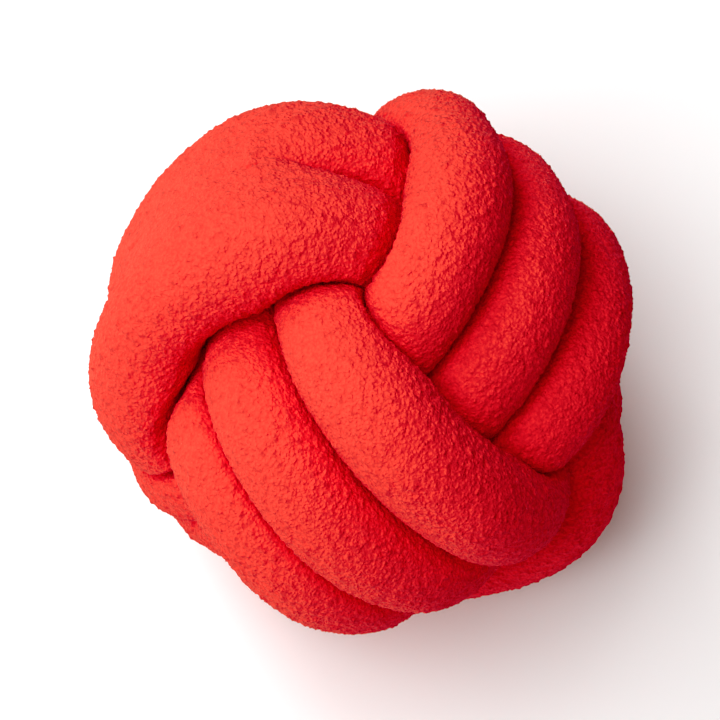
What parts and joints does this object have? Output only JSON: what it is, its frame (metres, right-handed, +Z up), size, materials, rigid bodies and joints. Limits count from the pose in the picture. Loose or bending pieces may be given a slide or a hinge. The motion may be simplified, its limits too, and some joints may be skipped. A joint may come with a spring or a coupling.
{
  "type": "knot cushion",
  "caption": "Ball-shaped knot cushion tied from one long stuffed tube of looped fabric; rests on a small flat spot.",
  "frame": {"origin": "middle of the bounding box, on the surface that the ball rests on", "axes": "+Z up, the pictured side faces up; seen from the camera, which looks down from the -Y side, +X is to the right"},
  "size_m": [0.2932, 0.2962, 0.294],
  "materials": {
    "knot_tube": "matte looped cloth"
  },
  "bodies": {
    "root": {"knot_tube": "knot_tube"}
  },
  "joints": []
}
